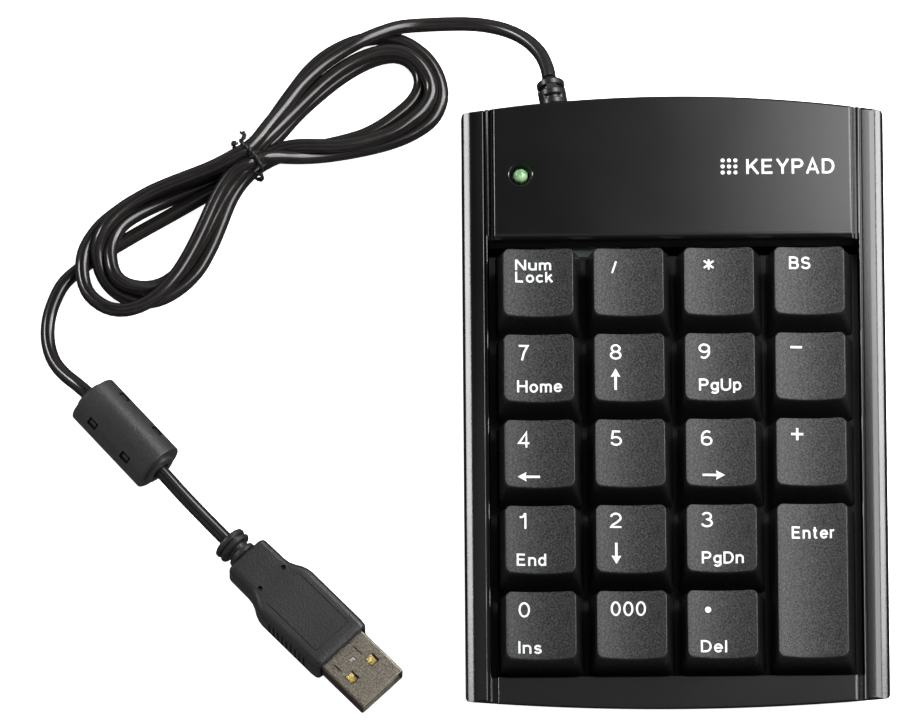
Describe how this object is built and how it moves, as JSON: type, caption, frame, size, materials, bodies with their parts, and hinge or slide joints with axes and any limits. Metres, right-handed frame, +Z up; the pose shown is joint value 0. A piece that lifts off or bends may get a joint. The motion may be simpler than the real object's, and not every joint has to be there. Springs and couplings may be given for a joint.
{
  "type": "numeric keypad",
  "caption": "Wedge-shaped numeric keypad with sprung keys in a well, an indicator lamp, and a thin cord wound in a hank that ends in a choke and a plug.",
  "frame": {"origin": "centre of the case's box without its cord, at the underside of the rubber feet", "axes": "+X to the right, +Y to the rear where the cord leaves, +Z up"},
  "size_m": [0.1784, 0.1619, 0.0262],
  "materials": {
    "case_plastic": "semi-gloss black moulding",
    "key_plastic": "fine speckled matte black",
    "inner_plastic": "plain black moulding",
    "cord_pvc": "smooth black PVC sheath",
    "tie_plastic": "black coated wire",
    "choke_plastic": "fine matte black",
    "plug_pvc": "matte black PVC",
    "plug_steel": "plated steel",
    "dome_rubber": "soft silicone",
    "foot_rubber": "matte rubber",
    "polyester_film": "clear film",
    "steel": "zinc plated",
    "gold_plate": "gold plated",
    "circuit_board": "solder mask",
    "led_green": "clear green epoxy",
    "ferrite": "dull grey ceramic",
    "white_plastic": "plain white"
  },
  "bodies": {
    "case": {"rubber_foot_front_left": "foot_rubber", "rubber_foot_front_right": "foot_rubber", "rubber_foot_rear_left": "foot_rubber", "rubber_foot_rear_right": "foot_rubber", "case_screw_1": "steel", "case_screw_2": "steel", "case_screw_3": "steel", "case_screw_4": "steel", "case_screw_5": "steel", "plug_contact_1": "gold_plate", "plug_contact_2": "gold_plate", "plug_contact_3": "gold_plate", "plug_contact_4": "gold_plate", "top_cover": "case_plastic", "bottom_cover": "case_plastic", "key_deck": "inner_plastic", "dome_sheet": "dome_rubber", "membrane_upper": "polyester_film", "membrane_spacer": "polyester_film", "membrane_lower": "polyester_film", "back_plate": "steel", "controller_board": "circuit_board", "controller_chip": "inner_plastic", "membrane_clamp_bar": "steel", "indicator_led": "led_green", "strain_relief": "cord_pvc", "cord_lead": "cord_pvc", "cord_hank": "cord_pvc", "cord_tail": "cord_pvc", "twist_tie": "tie_plastic", "ferrite_case_upper": "choke_plastic", "ferrite_case_lower": "choke_plastic", "ferrite_core": "ferrite", "plug_overmold": "plug_pvc", "plug_shell": "plug_steel", "plug_tongue": "white_plastic"},
    "num_lock_key": {"key_num_lock": "key_plastic"},
    "divide_key": {"key_divide": "key_plastic"},
    "multiply_key": {"key_multiply": "key_plastic"},
    "backspace_key": {"key_backspace": "key_plastic"},
    "7_key": {"key_7": "key_plastic"},
    "8_key": {"key_8": "key_plastic"},
    "9_key": {"key_9": "key_plastic"},
    "minus_key": {"key_minus": "key_plastic"},
    "4_key": {"key_4": "key_plastic"},
    "5_key": {"key_5": "key_plastic"},
    "6_key": {"key_6": "key_plastic"},
    "plus_key": {"key_plus": "key_plastic"},
    "1_key": {"key_1": "key_plastic"},
    "2_key": {"key_2": "key_plastic"},
    "3_key": {"key_3": "key_plastic"},
    "enter_key": {"key_enter": "key_plastic"},
    "0_key": {"key_0": "key_plastic"},
    "triple_zero_key": {"key_triple_zero": "key_plastic"},
    "decimal_key": {"key_decimal": "key_plastic"},
    "enter_stabilizer": {"enter_stabilizer_wire": "steel"}
  },
  "joints": [
    {"name": "num_lock_press", "type": "slide", "parent": "case", "child": "num_lock_key", "axis": [0, 0.0262, -0.9997], "range_m": [0, 0.0035], "stiffness_N_per_m": 150, "springref_m": -0.002, "deforming": ["dome_sheet"]},
    {"name": "divide_press", "type": "slide", "parent": "case", "child": "divide_key", "axis": [0, 0.0262, -0.9997], "range_m": [0, 0.0035], "stiffness_N_per_m": 150, "springref_m": -0.002, "deforming": ["dome_sheet"]},
    {"name": "multiply_press", "type": "slide", "parent": "case", "child": "multiply_key", "axis": [0, 0.0262, -0.9997], "range_m": [0, 0.0035], "stiffness_N_per_m": 150, "springref_m": -0.002, "deforming": ["dome_sheet"]},
    {"name": "backspace_press", "type": "slide", "parent": "case", "child": "backspace_key", "axis": [0, 0.0262, -0.9997], "range_m": [0, 0.0035], "stiffness_N_per_m": 150, "springref_m": -0.002, "deforming": ["dome_sheet"]},
    {"name": "7_press", "type": "slide", "parent": "case", "child": "7_key", "axis": [0, 0.0262, -0.9997], "range_m": [0, 0.0035], "stiffness_N_per_m": 150, "springref_m": -0.002, "deforming": ["dome_sheet"]},
    {"name": "8_press", "type": "slide", "parent": "case", "child": "8_key", "axis": [0, 0.0262, -0.9997], "range_m": [0, 0.0035], "stiffness_N_per_m": 150, "springref_m": -0.002, "deforming": ["dome_sheet"]},
    {"name": "9_press", "type": "slide", "parent": "case", "child": "9_key", "axis": [0, 0.0262, -0.9997], "range_m": [0, 0.0035], "stiffness_N_per_m": 150, "springref_m": -0.002, "deforming": ["dome_sheet"]},
    {"name": "minus_press", "type": "slide", "parent": "case", "child": "minus_key", "axis": [0, 0.0262, -0.9997], "range_m": [0, 0.0035], "stiffness_N_per_m": 150, "springref_m": -0.002, "deforming": ["dome_sheet"]},
    {"name": "4_press", "type": "slide", "parent": "case", "child": "4_key", "axis": [0, 0.0262, -0.9997], "range_m": [0, 0.0035], "stiffness_N_per_m": 150, "springref_m": -0.002, "deforming": ["dome_sheet"]},
    {"name": "5_press", "type": "slide", "parent": "case", "child": "5_key", "axis": [0, 0.0262, -0.9997], "range_m": [0, 0.0035], "stiffness_N_per_m": 150, "springref_m": -0.002, "deforming": ["dome_sheet"]},
    {"name": "6_press", "type": "slide", "parent": "case", "child": "6_key", "axis": [0, 0.0262, -0.9997], "range_m": [0, 0.0035], "stiffness_N_per_m": 150, "springref_m": -0.002, "deforming": ["dome_sheet"]},
    {"name": "plus_press", "type": "slide", "parent": "case", "child": "plus_key", "axis": [0, 0.0262, -0.9997], "range_m": [0, 0.0035], "stiffness_N_per_m": 150, "springref_m": -0.002, "deforming": ["dome_sheet"]},
    {"name": "1_press", "type": "slide", "parent": "case", "child": "1_key", "axis": [0, 0.0262, -0.9997], "range_m": [0, 0.0035], "stiffness_N_per_m": 150, "springref_m": -0.002, "deforming": ["dome_sheet"]},
    {"name": "2_press", "type": "slide", "parent": "case", "child": "2_key", "axis": [0, 0.0262, -0.9997], "range_m": [0, 0.0035], "stiffness_N_per_m": 150, "springref_m": -0.002, "deforming": ["dome_sheet"]},
    {"name": "3_press", "type": "slide", "parent": "case", "child": "3_key", "axis": [0, 0.0262, -0.9997], "range_m": [0, 0.0035], "stiffness_N_per_m": 150, "springref_m": -0.002, "deforming": ["dome_sheet"]},
    {"name": "enter_press", "type": "slide", "parent": "case", "child": "enter_key", "axis": [0, 0.0262, -0.9997], "range_m": [0, 0.0035], "stiffness_N_per_m": 150, "springref_m": -0.002, "deforming": ["dome_sheet"]},
    {"name": "0_press", "type": "slide", "parent": "case", "child": "0_key", "axis": [0, 0.0262, -0.9997], "range_m": [0, 0.0035], "stiffness_N_per_m": 150, "springref_m": -0.002, "deforming": ["dome_sheet"]},
    {"name": "triple_zero_press", "type": "slide", "parent": "case", "child": "triple_zero_key", "axis": [0, 0.0262, -0.9997], "range_m": [0, 0.0035], "stiffness_N_per_m": 150, "springref_m": -0.002, "deforming": ["dome_sheet"]},
    {"name": "decimal_press", "type": "slide", "parent": "case", "child": "decimal_key", "axis": [0, 0.0262, -0.9997], "range_m": [0, 0.0035], "stiffness_N_per_m": 150, "springref_m": -0.002, "deforming": ["dome_sheet"]},
    {"name": "enter_stabilizer_swing", "type": "hinge", "parent": "case", "child": "enter_stabilizer", "pos_m": [0.03377, -0.04214, 0.01529], "axis": [0, -0.9997, -0.0262], "range_deg": [0, 22.5]}
  ],
  "couplings": [
    {"joint": "enter_stabilizer_swing", "follows": "enter_press", "rad_per_m": 111.82}
  ]
}
